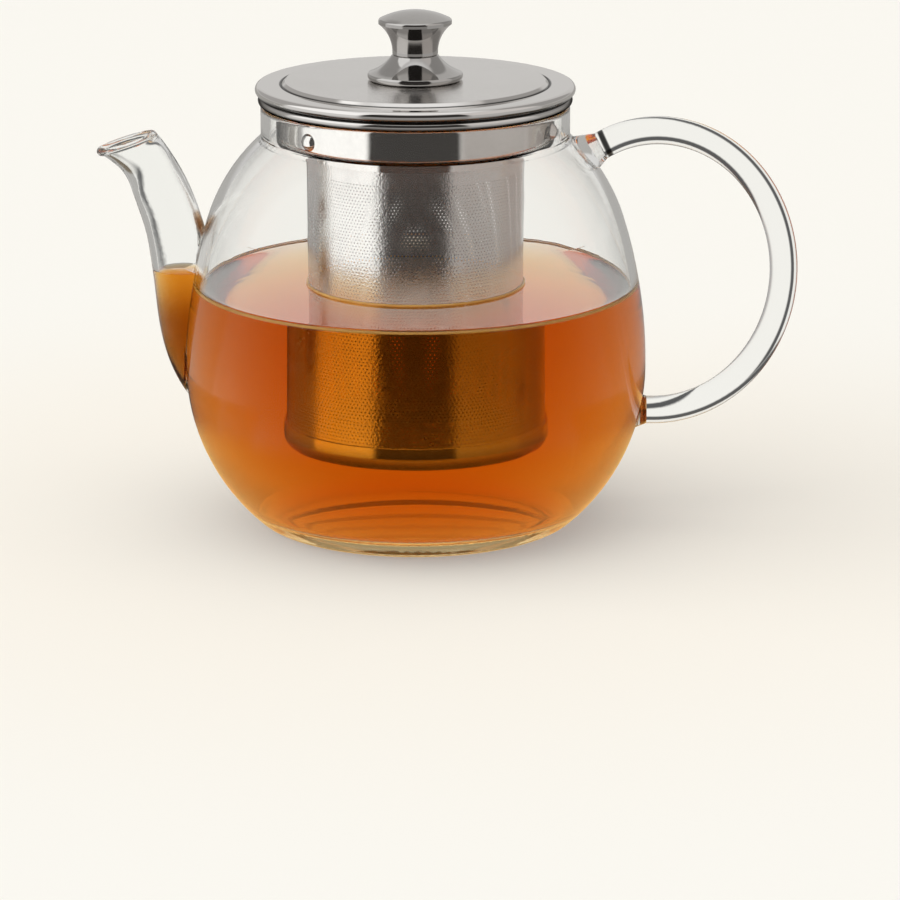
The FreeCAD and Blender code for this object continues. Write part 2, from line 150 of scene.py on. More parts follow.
class TeaSettings(bpy.types.PropertyGroup):
    """The tea in the pot and in the root of the spout."""

    level: FloatProperty(
        name="Level", description="Height of the tea's surface over the table",
        default=0.0693, unit="LENGTH")
    creep: FloatProperty(
        name="Creep", description="How far the tea climbs glass and steel", default=0.0011, unit="LENGTH")
    edge: FloatProperty(
        name="Edge", description="Radius of the bright line where tea meets glass and steel",
        default=0.00042, unit="LENGTH")
    overlap: FloatProperty(
        name="Overlap", description="How far the tea reaches into the glass", default=0.0001, unit="LENGTH")
    colour: FloatVectorProperty(
        name="Colour", description="Colour that the tea lets through",
        subtype="COLOR", default=(0.92, 0.655, 0.0))
    density: FloatProperty(
        name="Strength", description="How fast the tea takes light away", default=63.0)
    index: FloatProperty(name="Index", description="Index of refraction", default=1.2)
    gloss: FloatProperty(name="Gloss", description="Extra gloss of the tea's surface", default=0.9)
    spout_density: FloatProperty(
        name="Spout strength", description="The same for the thin layer in the spout", default=280.0)
    spout_level: FloatProperty(
        name="Spout level", description="Height of the tea's surface in the spout",
        default=0.0732, unit="LENGTH")


class SteelSettings(bpy.types.PropertyGroup):
    """The stainless steel of the infuser and the lid."""

    colour: FloatVectorProperty(
        name="Steel", description="Colour of the steel", subtype="COLOR", default=(0.72, 0.70, 0.68))
    satin: FloatProperty(
        name="Satin radius", description="Radius of the lid's satin middle", default=0.0369, unit="LENGTH")
    pitch: FloatProperty(
        name="Hole pitch", description="Distance between holes of the sheet", default=0.00106, unit="LENGTH")
    hole: FloatProperty(
        name="Hole radius", description="Radius of one hole", default=0.0002, unit="LENGTH")


class GlassSettings(bpy.types.PropertyGroup):
    """The clear glass of body, spout and handle."""

    tint: FloatVectorProperty(
        name="Tint", description="Colour of the glass", subtype="COLOR", default=(0.985, 0.99, 0.985))
    # The base's colour is painted amber light from the tea
    base: FloatVectorProperty(
        name="Base", description="Colour of the base, lit through the tea",
        subtype="COLOR", default=(1.0, 0.82, 0.47))
    index: FloatProperty(name="Index", description="Index of refraction", default=1.47)


class StageSettings(bpy.types.PropertyGroup):
    """Floor, light and camera."""

    floor: FloatVectorProperty(
        name="Floor", description="Colour of the floor", subtype="COLOR", default=(0.885, 0.865, 0.81))
    lift: FloatProperty(
        name="Shadow lift", description="Share of the floor's own tone that shows in its shadows",
        default=0.35)
    strength: FloatProperty(name="Light", description="Strength of the studio light", default=1.0)
    lens: FloatProperty(name="Lens", description="Focal length in mm on a 36 mm sensor", default=150.92)
    distance: FloatProperty(
        name="Distance", description="Camera to the aim point", default=1.1, unit="LENGTH")
    pitch: FloatProperty(
        name="Pitch", description="How far the camera looks down",
        default=math.radians(16.0), subtype="ANGLE")
    aim: FloatVectorProperty(
        name="Aim", description="Point at the middle of the frame",
        subtype="XYZ", default=(0.00985, 0.0, 0.0188))


# Meshes from arrays


def make_piece(name, points, faces, body, slot, material, stands_for=()):
    """A smooth mesh piece from an (n, 3) array of points and lists of faces, riding on a body."""
    mesh = bpy.data.meshes.new(name)
    mesh.from_pydata(points, [], [f.tolist() for block in faces for f in block])
    mesh.materials.append(material)
    mesh.shade_smooth()
    mesh.update()
    piece = bpy.data.objects.new(name, mesh)
    bpy.context.scene.collection.objects.link(piece)
    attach(piece, body)
    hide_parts(*stands_for)


def ring_faces(rows, columns):
    """Quads between neighbouring rings of a grid that closes on itself round each ring."""
    row, column = np.meshgrid(np.arange(rows - 1), np.arange(columns), indexing="ij")
    onward = (column + 1) % columns
    low, high = row * columns, (row + 1) * columns
    return np.stack([low + column, low + onward, high + onward, high + column], -1).reshape(-1, 4)


def capped_rings(rings, low_pole, high_pole):
    """Points and outward faces of stacked rings (rows, columns, 3), closed by a fan at each end."""
    rows, columns = rings.shape[:2]
    points = np.concatenate([rings.reshape(-1, 3), [low_pole, high_pole]])
    column = np.arange(columns)
    onward = (column + 1) % columns
    last = (rows - 1) * columns
    low_fan = np.stack([onward, column, np.full(columns, rows * columns)], -1)
    high_fan = np.stack([last + column, last + onward, np.full(columns, rows * columns + 1)], -1)
    return points, [ring_faces(rows, columns), low_fan, high_fan]


def wall_radius(height, inset):
    """Radius of the body's wall at a height: r = c + sqrt(R^2 - (z - z0)^2).

    R is the bowl's arc under the widest height z0 and the side's arc over it, less the inset, and c is the
    belly's radius less the whole arc.
    """
    bowl = BODY_RADIUS - BOWL_ARC + np.sqrt((BOWL_ARC - inset) ** 2 - (height - WIDEST_HEIGHT) ** 2)
    side = BODY_RADIUS - SIDE_ARC + np.sqrt((SIDE_ARC - inset) ** 2 - (height - WIDEST_HEIGHT) ** 2)
    return np.where(height < WIDEST_HEIGHT, bowl, side)


def tea_profile(tea):
    """Outline (r, z) of the tea from the edge of its floor, up the wall, to near the middle of its surface.

    The floor's corner and the bowl are arcs. The surface climbs the wall as
    z = level + creep * exp(-d / creep), with d the distance to the wall, and its steps crowd towards it.
    """
    corner_steps, wall_steps, surface_steps, crowding = 24, 90, 260, 1.2
    inset = GLASS_WALL - tea.overlap
    floor = BASE_THICKNESS - tea.overlap
    bowl = BOWL_ARC - inset
    centre_z = floor + FLOOR_ROUND
    lean = math.asin((WIDEST_HEIGHT - centre_z) / (bowl - FLOOR_ROUND))
    centre_r = BODY_RADIUS - BOWL_ARC + (bowl - FLOOR_ROUND) * math.cos(lean)
    corner = np.linspace(-math.pi / 2, -lean, corner_steps)
    corner = np.stack([centre_r + FLOOR_ROUND * np.cos(corner), centre_z + FLOOR_ROUND * np.sin(corner)], -1)
    wall_top = tea.level + tea.creep
    wall_z = np.linspace(corner[-1, 1], wall_top, wall_steps)[1:]
    wall = np.stack([wall_radius(wall_z, inset), wall_z], -1)
    edge = wall[-1, 0]
    surface_r = edge * (1 - np.linspace(0, 1, surface_steps)[1:-1] ** crowding)
    climb = np.exp((surface_r - edge) / tea.creep)
    surface = np.stack([surface_r, tea.level + tea.creep * climb], -1)
    return np.concatenate([corner, wall, surface])


def turned(profile, columns):
    """Rings of a profile (r, z) turned round Z: (r cos a, r sin a, z)."""
    angle = np.linspace(0, 2 * math.pi, columns, endpoint=False)
    radius, height = profile[:, :1], profile[:, 1:]
    flat = np.stack([radius * np.cos(angle), radius * np.sin(angle)], -1)
    return np.concatenate([flat, np.broadcast_to(height[..., None], flat.shape[:2] + (1,))], -1)


def torus_rings(radius, height, size, columns):
    """Closed rings of a torus: ((R + s cos v) cos u, (R + s cos v) sin u, h + s sin v)."""
    turn = np.linspace(0, 2 * math.pi, BEAD_STEPS)
    return turned(np.stack([radius + size * np.cos(turn), height + size * np.sin(turn)], -1), columns)


def lip_rings():
    """Rings of a round bead carried along the mouth's ellipse, thickest at the pouring tip.

    The bead's middle is c + a cos t X' + b sin t Y, with X' along the tilted mouth, and its radius grows as
    s * (1 + swell * ((1 - cos t) / 2)^6).
    """
    along = np.array([math.cos(MOUTH_TILT), 0, math.sin(MOUTH_TILT)])
    across = np.array([0, 1, 0])
    up = np.array([-math.sin(MOUTH_TILT), 0, math.cos(MOUTH_TILT)])
    reach, height = SPOUT_LINE[-1] + (MOUTH_FORWARD, MOUTH_RISE)
    centre = np.array([-BODY_RADIUS - reach, 0, height])
    half = np.array([MOUTH_REACH, SPOUT_RADII[1]]) - SPOUT_WALL / 2
    turn = np.linspace(0, 2 * math.pi, LIP_STEPS, endpoint=False)[None, :, None]
    round_turn = np.linspace(0, 2 * math.pi, BEAD_STEPS)[:, None, None]
    middle = centre + half[0] * np.cos(turn) * along + half[1] * np.sin(turn) * across
    out = half[1] * np.cos(turn) * along + half[0] * np.sin(turn) * across
    out /= np.linalg.norm(out, axis=-1, keepdims=True)
    bead = LIP_BEAD * (1 + LIP_SWELL * ((1 - np.cos(turn)) / 2) ** 6)
    return middle + bead * (np.cos(round_turn) * out + np.sin(round_turn) * up)


def spout_tea_rings(tea):
    """Level slices of the tea in the spout: the part of each ellipse that lies outside the body's wall.

    The outer side follows x = centre + a cos t, y = b sin t from t0 to 2 pi - t0, where the ellipse leaves
    the wall. The inner side runs back along the wall as x = -sqrt(R^2 - y^2), where R is the wall's outside,
    or its inside within the round hole that joins spout and pot.
    """
    slices, trials, outer_steps, wall_steps = 90, 2000, 64, 50
    height = np.linspace(SPOUT_TEA_FLOOR, tea.spout_level, slices)[:, None]
    line = np.polynomial.Polynomial.fit(SPOUT_LINE[:, 1], SPOUT_LINE[:, 0], 4)
    centre = -BODY_RADIUS - line(height)
    share = np.clip((height - SPOUT_LINE[0, 1]) / (SPOUT_LINE[-1, 1] - SPOUT_LINE[0, 1]), 0, 1)
    width = SPOUT_RADII[0] + (SPOUT_RADII[1] - SPOUT_RADII[0]) * share - SPOUT_WALL + tea.overlap
    reach = width * np.hypot(1, line.deriv()(height))
    trial = np.linspace(0, math.pi, trials)
    glass = -np.sqrt(wall_radius(height, tea.overlap) ** 2 - (width * np.sin(trial)) ** 2)
    leaving = trial[(centre + reach * np.cos(trial) < glass).argmax(1)][:, None]
    turn = leaving + (2 * math.pi - 2 * leaving) * np.linspace(0, 1, outer_steps)
    outer = np.stack([centre + reach * np.cos(turn), width * np.sin(turn)], -1)
    y = width * np.sin(leaving) * np.linspace(-1, 1, wall_steps)[1:-1]
    in_hole = np.hypot(y, height - SPOUT_HOLE[0]) < SPOUT_HOLE[1]
    wall = wall_radius(height, np.where(in_hole, GLASS_WALL, tea.overlap))
    flat = np.concatenate([outer, np.stack([-np.sqrt(wall**2 - y**2), y], -1)], 1)
    return np.concatenate([flat, np.broadcast_to(height[..., None], flat.shape[:2] + (1,))], -1)


def hex_sheet(width, depth, pitch, hole):
    """A flat sheet of hexagonal cells with one hexagonal hole each, as points (u, v) and quads.

    Cell centres lie at (i + (j odd) / 2) * pitch and (j + 1 / 2) * pitch * sqrt(3) / 2, with the pitch
    changed a little so that whole cells fill the width. Each cell is a ring of six quads between its own
    corner hexagon, of radius pitch / sqrt(3), and the hole's hexagon.
    """
    columns = int(round(width / pitch))
    pitch = width / columns
    rows = int(depth / (pitch * math.sqrt(3) / 2))
    row, column = np.meshgrid(np.arange(rows), np.arange(columns), indexing="ij")
    centre_u = ((column + 0.5 * (row % 2)) * pitch).ravel()
    centre_v = ((row + 0.5) * pitch * math.sqrt(3) / 2).ravel()
    turn = np.arange(6) * math.pi / 3 + math.pi / 6
    radius = np.concatenate([np.full(6, pitch / math.sqrt(3)), np.full(6, hole)])
    spin = np.concatenate([turn, turn])
    u = centre_u[:, None] + radius * np.cos(spin)
    v = centre_v[:, None] + radius * np.sin(spin)
    step = np.arange(6)
    onward = (step + 1) % 6
    cell = np.stack([step, onward, onward + 6, step + 6], -1)
    faces = (np.arange(len(centre_u))[:, None, None] * 12 + cell).reshape(-1, 4)
    return np.stack([u, v], -1).reshape(-1, 2), faces


def weld(points, faces, step):
    """Joins the faces' corners that fall in the same cell of a fine grid, and renumbers the faces."""
    corners = points[faces.ravel()]
    key = np.round(corners / step).astype(np.int64)
    _, first, which = np.unique(key, axis=0, return_index=True, return_inverse=True)
    return corners[first], which.reshape(faces.shape)


def closed_rings(rings):
    """Points and faces of rings whose last ring lies on the first, joined there."""
    points, faces = weld(rings.reshape(-1, 3), ring_faces(*rings.shape[:2]), RING_JOIN)
    return points, [faces]


def fine_wall(steel):
    """Points and faces of the perforated tube, with a plain band over it.

    The flat sheet (u, v) is bent to (R cos(u / R), R sin(u / R), z0 + v).
    """
    low = RING_BOX[1].z - SHEET_LAP
    depth = BASKET_TOP - PLAIN_BAND - low
    flat, faces = hex_sheet(2 * math.pi * BASKET_RADIUS, depth, steel.pitch, steel.hole)
    angle = flat[:, 0] / BASKET_RADIUS
    across = BASKET_RADIUS * np.cos(angle), BASKET_RADIUS * np.sin(angle)
    points, faces = weld(np.stack([*across, low + flat[:, 1]], -1), faces, SHEET_JOIN)
    band_z = np.array([points[:, 2].max() - BAND_LAP, BASKET_TOP])
    band = turned(np.stack([np.full(2, BASKET_RADIUS + BAND_PROUD), band_z], -1), RING_STEPS)
    band_faces = ring_faces(2, RING_STEPS) + len(points)
    return np.concatenate([points, band.reshape(-1, 3)]), [faces, band_faces]


def fine_floor(steel):
    """Points and faces of the perforated floor: the cells of a flat sheet that lie within the ring."""
    reach = RING_BOX[1].x - MESH_INSET
    flat, faces = hex_sheet(2 * reach, 2 * reach, steel.pitch, steel.hole)
    points = np.concatenate([flat - reach, np.full((len(flat), 1), MESH_FLOOR)], -1)
    inside = (np.hypot(points[:, 0], points[:, 1])[faces] < reach).all(1)
    points, faces = weld(points, faces[inside], SHEET_JOIN)
    return points, [faces]


# Materials


def fresh_material(name):
    """A new node material and its tree, holding only the shader and the output."""
    material = bpy.data.materials.new(name)
    material.use_nodes = True
    tree = material.node_tree
    return material, tree, tree.nodes["Principled BSDF"]


def add(tree, kind, inputs=None, **settings):
    """Adds a node, sets its settings, and fills or links its inputs by name or number."""
    made = tree.nodes.new(kind)
    for key, value in settings.items():
        setattr(made, key, value)
    for key, value in (inputs or {}).items():
        if isinstance(value, bpy.types.NodeSocket):
            tree.links.new(value, made.inputs[key])
        else:
            made.inputs[key].default_value = value
    return made


def math_node(tree, operation, *values):
    """One Math node and its result."""
    return add(tree, "ShaderNodeMath", dict(enumerate(values)), operation=operation).outputs[0]


def ramp(tree, value, start, end):
    """A smooth step from 0 at start to 1 at end."""
    return add(tree, "ShaderNodeMapRange", {"Value": value, 1: start, 2: end},
               interpolation_type="SMOOTHSTEP").outputs[0]


def blend(tree, share, first, second):
    """A colour between two, by share."""
    mix = add(tree, "ShaderNodeMix", {"Factor": share}, data_type="RGBA")
    for socket, colour in (("A", first), ("B", second)):
        if isinstance(colour, bpy.types.NodeSocket):
            tree.links.new(colour, mix.inputs[socket])
        else:
            mix.inputs[socket].default_value = (*colour, 1)
    return mix.outputs["Result"]


def object_place(tree):
    """Object coordinates."""
    return add(tree, "ShaderNodeTexCoord").outputs["Object"]


def object_height(tree):
    """The height among the object coordinates."""
    return add(tree, "ShaderNodeSeparateXYZ", {0: object_place(tree)}).outputs["Z"]


def vector_length(tree, vector):
    """The length of a vector."""
    return add(tree, "ShaderNodeVectorMath", {0: vector}, operation="LENGTH").outputs["Value"]


def noise(tree, place, scale, detail):
    """Soft noise from 0 to 1."""
    return add(tree, "ShaderNodeTexNoise", {"Vector": place, "Scale": scale, "Detail": detail}).outputs[0]


def fresh_group(name, takes, gives):
    """A new node group with sockets as {label: kind}, what it is given, and where it gives its results."""
    group = bpy.data.node_groups.new(name, "ShaderNodeTree")
    for side, sockets in (("INPUT", takes), ("OUTPUT", gives)):
        for label, kind in sockets.items():
            group.interface.new_socket(label, in_out=side, socket_type="NodeSocket" + kind)
    return group, group.nodes.new("NodeGroupInput").outputs, group.nodes.new("NodeGroupOutput").inputs


def place_group(tree, inputs, build, name, *details):
    """Places the node group of this name with these inputs, built at its first use, and gives its outputs."""
    group = bpy.data.node_groups.get(name) or build(name, *details)
    return add(tree, "ShaderNodeGroup", inputs, node_tree=group).outputs


def handling_group(name):
    """Node group: faint smears and fine marks of a handled surface, as a roughness between two values."""
    takes = dict.fromkeys(("Clean", "Smeared", "Scale"), "Float")
    group, given, out = fresh_group(name, takes, {"Roughness": "Float", "Mask": "Float"})
    place = object_place(group)
    broad = noise(group, place, given["Scale"], detail=5.0)
    fine = noise(group, place, math_node(group, "MULTIPLY", given["Scale"], MARKS_FINER), detail=3.0)
    broad = math_node(group, "MULTIPLY", broad, 1 - MARKS_FINE_SHARE)
    mask = ramp(group, math_node(group, "MULTIPLY_ADD", fine, MARKS_FINE_SHARE, broad), *MARKS_RANGE)
    rough = add(group, "ShaderNodeMapRange", {"Value": mask, 3: given["Clean"], 4: given["Smeared"]})
    group.links.new(rough.outputs[0], out["Roughness"])
    group.links.new(mask, out["Mask"])
    return group


def handling_marks(tree, clean, smeared, scale):
    """Places the handling marks with these values, and gives their roughness and mask."""
    values = {"Clean": clean, "Smeared": smeared, "Scale": scale}
    made = place_group(tree, values, handling_group, "handling marks")
    return made["Roughness"], made["Mask"]


def uneven_group(name):
    """Node group: a surface made uneven by soft noise, as its normal."""
    takes = dict.fromkeys(("Scale", "Detail", "Strength", "Distance"), "Float")
    group, given, out = fresh_group(name, takes, {"Normal": "Vector"})
    place = object_place(group)
    height = noise(group, place, given["Scale"], given["Detail"])
    rise = {"Strength": given["Strength"], "Distance": given["Distance"], "Height": height}
    group.links.new(add(group, "ShaderNodeBump", rise).outputs[0], out["Normal"])
    return group


def make_uneven(tree, shader, scale, detail, strength, distance):
    """Makes a shader's surface uneven by these values."""
    values = {"Scale": scale, "Detail": detail, "Strength": strength, "Distance": distance}
    normal = place_group(tree, values, uneven_group, "uneven surface")["Normal"]
    tree.links.new(normal, shader.inputs["Normal"])


def under_shade_group(name):
    """Node group: painted shade, 1 from the height Low up to Full over it, fading to 0 at Gone over it, and 0
    under Low.
    """
    takes = dict.fromkeys(("Low", "Full", "Gone"), "Float")
    group, given, out = fresh_group(name, takes, {"Mask": "Float"})
    height = object_height(group)
    above = ramp(group, height, math_node(group, "SUBTRACT", given["Low"], SHADE_SOFT), given["Low"])
    gone, full = (math_node(group, "ADD", given["Low"], given[label]) for label in ("Gone", "Full"))
    group.links.new(math_node(group, "MULTIPLY", above, ramp(group, height, gone, full)), out["Mask"])
    return group


def painted_under_shade(tree, low, full, gone):
    """Places painted shade at these heights, and gives its mask."""
    values = {"Low": low, "Full": full, "Gone": gone}
    return place_group(tree, values, under_shade_group, "edge shade")["Mask"]


def weld_shade_group(name):
    """Node group: 1 inside an ellipsoid of the half sizes Size, turned by Turn, fading to 0 at its edge."""
    takes = dict.fromkeys(("Centre", "Size", "Turn"), "Vector")
    group, given, out = fresh_group(name, takes, {"Mask": "Float"})
    place = object_place(group)
    spot = {"Vector": place, "Location": given["Centre"], "Rotation": given["Turn"], "Scale": given["Size"]}
    local = add(group, "ShaderNodeMapping", spot, vector_type="TEXTURE").outputs[0]
    group.links.new(ramp(group, vector_length(group, local), 1.0, WELD_SHADE_CORE), out["Mask"])
    return group


def painted_weld_shade(tree, centre, size, lean):
    """Places painted shade at a weld, leaning round Y, and gives its mask."""
    values = {"Centre": centre, "Size": size, "Turn": (0, math.radians(lean), 0)}
    return place_group(tree, values, weld_shade_group, "weld mark")["Mask"]


def glass_material(name, marks):
    """Clear blown glass: a slow wave, faint handling marks, painted amber light in the base and painted shade
    at the welds.

    marks are (tone, centre, half sizes, lean) of the painted shade where glass was welded to glass.
    """
    settings = bpy.context.scene.teapot_glass
    material, tree, shader = fresh_material(name)
    height = object_height(tree)
    # Painted amber light in the base
    glow = ramp(tree, height, *BASE_GLOW)
    colour = blend(tree, glow, tuple(settings.tint), tuple(settings.base))
    # Painted shade at the welds
    for tone, *spot in marks:
        colour = blend(tree, painted_weld_shade(tree, *spot), colour, tone)
    tree.links.new(colour, shader.inputs["Base Color"])
    shader.inputs["Transmission Weight"].default_value = 1.0
    shader.inputs["IOR"].default_value = settings.index
    shader.inputs["Specular Tint"].default_value = (0.03, 0.03, 0.03, 1)
    rough, _ = handling_marks(tree, clean=0.0, smeared=0.012, scale=35.0)
    tree.links.new(rough, shader.inputs["Roughness"])
    make_uneven(tree, shader, scale=16.0, detail=0.0, strength=0.03, distance=0.0006)
    return material


def tea_material(name, density, low, high):
    """Clear amber tea: it takes blue and green light away with depth, and its wall is tinted by height.

    low and high are (height, tint) pairs, and the tint runs from one to the other between them.
    """
    settings = bpy.context.scene.teapot_tea
    material, tree, shader = fresh_material(name)
    shader.inputs["Transmission Weight"].default_value = 1.0
    shader.inputs["IOR"].default_value = settings.index
    shader.inputs["Specular Tint"].default_value = (0, 0, 0, 1)
    shader.inputs["Roughness"].default_value = 0.0
    height = object_height(tree)
    surface = ramp(tree, height, high[0] - TEA_SKIN[0], high[0] - TEA_SKIN[1])
    tint = blend(tree, ramp(tree, height, low[0], high[0]), low[1], high[1])
    tree.links.new(blend(tree, surface, tint, CLEAR), shader.inputs["Base Color"])
    tree.links.new(math_node(tree, "MULTIPLY", surface, settings.gloss), shader.inputs["Coat Weight"])
    shader.inputs["Coat IOR"].default_value = 1.55
    shader.inputs["Coat Roughness"].default_value = 0.0
    make_uneven(tree, shader, scale=45.0, detail=0.0, strength=0.012, distance=0.0005)
    depth = add(tree, "ShaderNodeVolumeAbsorption", {"Color": (*settings.colour, 1), "Density": density})
    tree.links.new(depth.outputs[0], tree.nodes["Material Output"].inputs["Volume"])
    return material


def tea_edge_highlight_material():
    """The ring of tea drawn up at its edge, coloured bright amber as a painted highlight, a little uneven."""
    material, tree, shader = fresh_material("painted_tea_edge_highlight")
    place = object_place(tree)
    tone = blend(tree, noise(tree, place, scale=70.0, detail=1.0), *TEA_EDGE_HIGHLIGHT_TONES)
    tree.links.new(tone, shader.inputs["Base Color"])
    shader.inputs["Roughness"].default_value = 0.15
    return material


def steel_material(name, clean, smeared, grain=0.0, shades=(), tone=1.0, rim=1.0):
    """Polished stainless steel with handling marks, a fine grain on rolled sheet, and painted shade under
    edges.

    shades are (low, full, gone) of the painted shade under each edge, as painted_under_shade takes them, tone
    darkens the steel's colour as painted shade, and rim how bright it stays where it is seen at a flat angle.
    """
    polished = [c * tone for c in bpy.context.scene.teapot_steel.colour]
    material, tree, shader = fresh_material(name)
    shader.inputs["Metallic"].default_value = 1.0
    shader.inputs["Specular Tint"].default_value = (rim, rim, rim, 1)
    rough, mask = handling_marks(tree, clean, smeared, scale=48.0)
    tree.links.new(rough, shader.inputs["Roughness"])
    colour = blend(tree, mask, polished, [c * SMEARED_STEEL for c in polished])
    # Painted shade under each edge
    for shade in shades:
        colour = blend(tree, painted_under_shade(tree, *shade), colour, PAINTED_SHADE_TONE)
    tree.links.new(colour, shader.inputs["Base Color"])
    if grain:
        make_uneven(tree, shader, scale=1500.0, detail=1.0, strength=grain, distance=0.00008)
    return material


def lid_material():
    """Lid steel: a satin middle turned with fine rings, a polished rim outside the groove, and painted shade
    in the groove and under the rim.
    """
    settings = bpy.context.scene.teapot_steel
    material, tree, shader = fresh_material("lid_steel")
    shader.inputs["Metallic"].default_value = 1.0
    marks, _ = handling_marks(tree, clean=0.15, smeared=0.24, scale=48.0)
    place = object_place(tree)
    flat = add(tree, "ShaderNodeVectorMath", {0: place, 1: (1, 1, 0)}, operation="MULTIPLY").outputs[0]
    radius = vector_length(tree, flat)
    # Painted shade in the lid's groove
    inner = ramp(tree, radius, LID_GROOVE[0] - GROOVE_SOFT, LID_GROOVE[0])
    outer = ramp(tree, radius, LID_GROOVE[1] + GROOVE_SOFT, LID_GROOVE[1])
    groove_shade = math_node(tree, "MULTIPLY", inner, outer)
    # Painted shade under the lid's rim
    under = painted_under_shade(tree, LID_BOTTOM, *LID_SHADE)
    painted_lid_shade = math_node(tree, "MAXIMUM", groove_shade, under)
    tree.links.new(blend(tree, painted_lid_shade, tuple(settings.colour), PAINTED_SHADE_TONE), shader.inputs["Base Color"])
    rim = ramp(tree, radius, settings.satin - SATIN_SOFT, settings.satin)
    rough = add(tree, "ShaderNodeMix", {"Factor": rim, "A": marks, "B": RIM_POLISH}, data_type="FLOAT")
    tree.links.new(rough.outputs[0], shader.inputs["Roughness"])
    across = {"W": radius, "Scale": 5200.0, "Detail": 2.0}
    lines = add(tree, "ShaderNodeTexNoise", across, noise_dimensions="1D")
    satin = math_node(tree, "MULTIPLY", lines.outputs[0], math_node(tree, "SUBTRACT", 1.0, rim))
    bump = add(tree, "ShaderNodeBump", {"Strength": 0.35, "Distance": 0.00004, "Height": satin})
    tree.links.new(bump.outputs[0], shader.inputs["Normal"])
    return material


def dress(material, *nodes):
    """Gives CAD nodes one material."""
    for name in nodes:
        slots = NODES[name].data.materials
        slots.clear()
        slots.append(material)


# Operators


class TEAPOT_OT_glass(bpy.types.Operator):
    """Give body, spout and handle their clear glass"""

    bl_idname = "teapot.glass"
    bl_label = "Glass"

    def execute(self, context):
        glass = glass_material("clear_glass", SPOUT_WELD_SHADE)
        dress(glass, "glass_body", "spout")
        dress(glass_material("handle_glass", HANDLE_WELD_SHADES), "handle")
        make_piece("spout_lip", *closed_rings(lip_rings()), "vessel", "clear_glass", glass)
        return {"FINISHED"}


class TEAPOT_OT_tea(bpy.types.Operator):
    """Fill the pot and the root of the spout with tea"""

    bl_idname = "teapot.tea"
    bl_label = "Tea"

    def execute(self, context):
        tea = context.scene.teapot_tea
        rings = turned(tea_profile(tea), TEA_STEPS)
        solid = capped_rings(rings, (0, 0, BASE_THICKNESS - tea.overlap), (0, 0, tea.level))
        material = tea_material("amber_tea", tea.density, (POT_TINT_FROM, CLEAR), (tea.level, POT_TINT))
        make_piece("tea_in_pot", *solid, "vessel", "clear_glass", material)
        rings = spout_tea_rings(tea)
        solid = capped_rings(rings, rings[0].mean(0), rings[-1].mean(0))
        # The spout's tea is painted darker towards its bottom: painted shade
        low, high = (SPOUT_HOLE[0], SPOUT_SHADE_TINT), (tea.spout_level, CLEAR)
        material = tea_material("amber_tea_in_spout", tea.spout_density, low, high)
        make_piece("tea_in_spout", *solid, "vessel", "clear_glass", material)
        # Thin rings where the tea meets glass and steel, coloured as a painted highlight
        edge = tea_edge_highlight_material()
        wall = wall_radius(np.array(tea.level), GLASS_WALL) - tea.edge / 2
        for name, body, radius in (("tea_highlight_on_glass", "vessel", wall),
                                   ("tea_highlight_on_infuser", "infuser", BASKET_RADIUS + tea.edge / 2)):
            rings = torus_rings(radius, tea.level + tea.edge / 2, tea.edge, RING_STEPS)
            make_piece(name, *closed_rings(rings), body, "clear_glass", edge)
        return {"FINISHED"}


class TEAPOT_OT_infuser(bpy.types.Operator):
    """Make the infuser's fine perforated sheets and polish its collar and ring"""

    bl_idname = "teapot.infuser"
    bl_label = "Infuser"

    def execute(self, context):
        steel = context.scene.teapot_steel
        sheet = steel_material("perforated_steel", clean=0.18, smeared=0.28, grain=0.8)
        # Painted shade under the collar's floor and under the flange
        under_shades = (COLLAR_FLOOR, *COLLAR_SHADE), (GLASS_RIM, *FLANGE_SHADE)
        collar = steel_material("collar_steel", clean=0.04, smeared=0.1, shades=under_shades, rim=0.1)
        dress(collar, "infuser_collar")
        # Painted shade on the ring, full at its bottom and gone at its top
        under_shades = ((RING_BOX[0].z, 0, RING_BOX[1].z - RING_BOX[0].z),)
        ring = steel_material("ring_steel", clean=0.1, smeared=0.2, shades=under_shades)
        dress(ring, "infuser_bottom_ring")
        for name, sheet_form, node in (("fine_infuser_wall", fine_wall, "infuser_wall"),
                                       ("fine_infuser_floor", fine_floor, "infuser_bottom_mesh")):
            make_piece(name, *sheet_form(steel), "infuser", "mesh_steel", sheet, [node])
        return {"FINISHED"}


class TEAPOT_OT_lid(bpy.types.Operator):
    """Polish the lid, its skirt and the knob"""

    bl_idname = "teapot.lid"
    bl_label = "Lid"

    def execute(self, context):
        dress(lid_material(), "lid_top")
        dress(steel_material("skirt_steel", clean=0.04, smeared=0.1), "lid_skirt")
        # The knob is a darker copy of the steel: painted shade
        dress(steel_material("knob_steel", clean=0.04, smeared=0.1, tone=0.7), "knob_foot", "knob_grip")
        dress(steel_material("screw_steel", clean=0.25, smeared=0.4), "knob_screw", "knob_washer")
        return {"FINISHED"}


# Studio


def patch(tree, azimuth, elevation, az_span, el_span, soft):
    """A soft-edged window of the sky: 1 inside the two spans of angle, in degrees, and 0 outside."""
    mask = None
    for angle, (low, high) in ((azimuth, az_span), (elevation, el_span)):
        for edge, sign in ((low, 1), (high, -1)):
            near, far = math.radians(edge - soft * sign), math.radians(edge + soft * sign)
            side = ramp(tree, angle, near, far)
            mask = side if mask is None else math_node(tree, "MULTIPLY", mask, side)
    return mask


def sky_group(name, ground, windows):
    """Node group: a colour for each way out of the studio, from windows laid over a ground colour."""
    group, given, out = fresh_group(name, {"Way": "Vector"}, {"Colour": "Color"})
    unit = add(group, "ShaderNodeVectorMath", {0: given["Way"]}, operation="NORMALIZE").outputs[0]
    part = add(group, "ShaderNodeSeparateXYZ", {0: unit})
    front = math_node(group, "MULTIPLY", part.outputs["Y"], -1.0)
    azimuth = math_node(group, "ARCTAN2", part.outputs["X"], front)
    elevation = math_node(group, "ARCSINE", part.outputs["Z"])
    colour = ground
    for tone, *window in windows:
        colour = blend(group, patch(group, azimuth, elevation, *window), colour, tone)
    group.links.new(colour, out["Colour"])
    return group


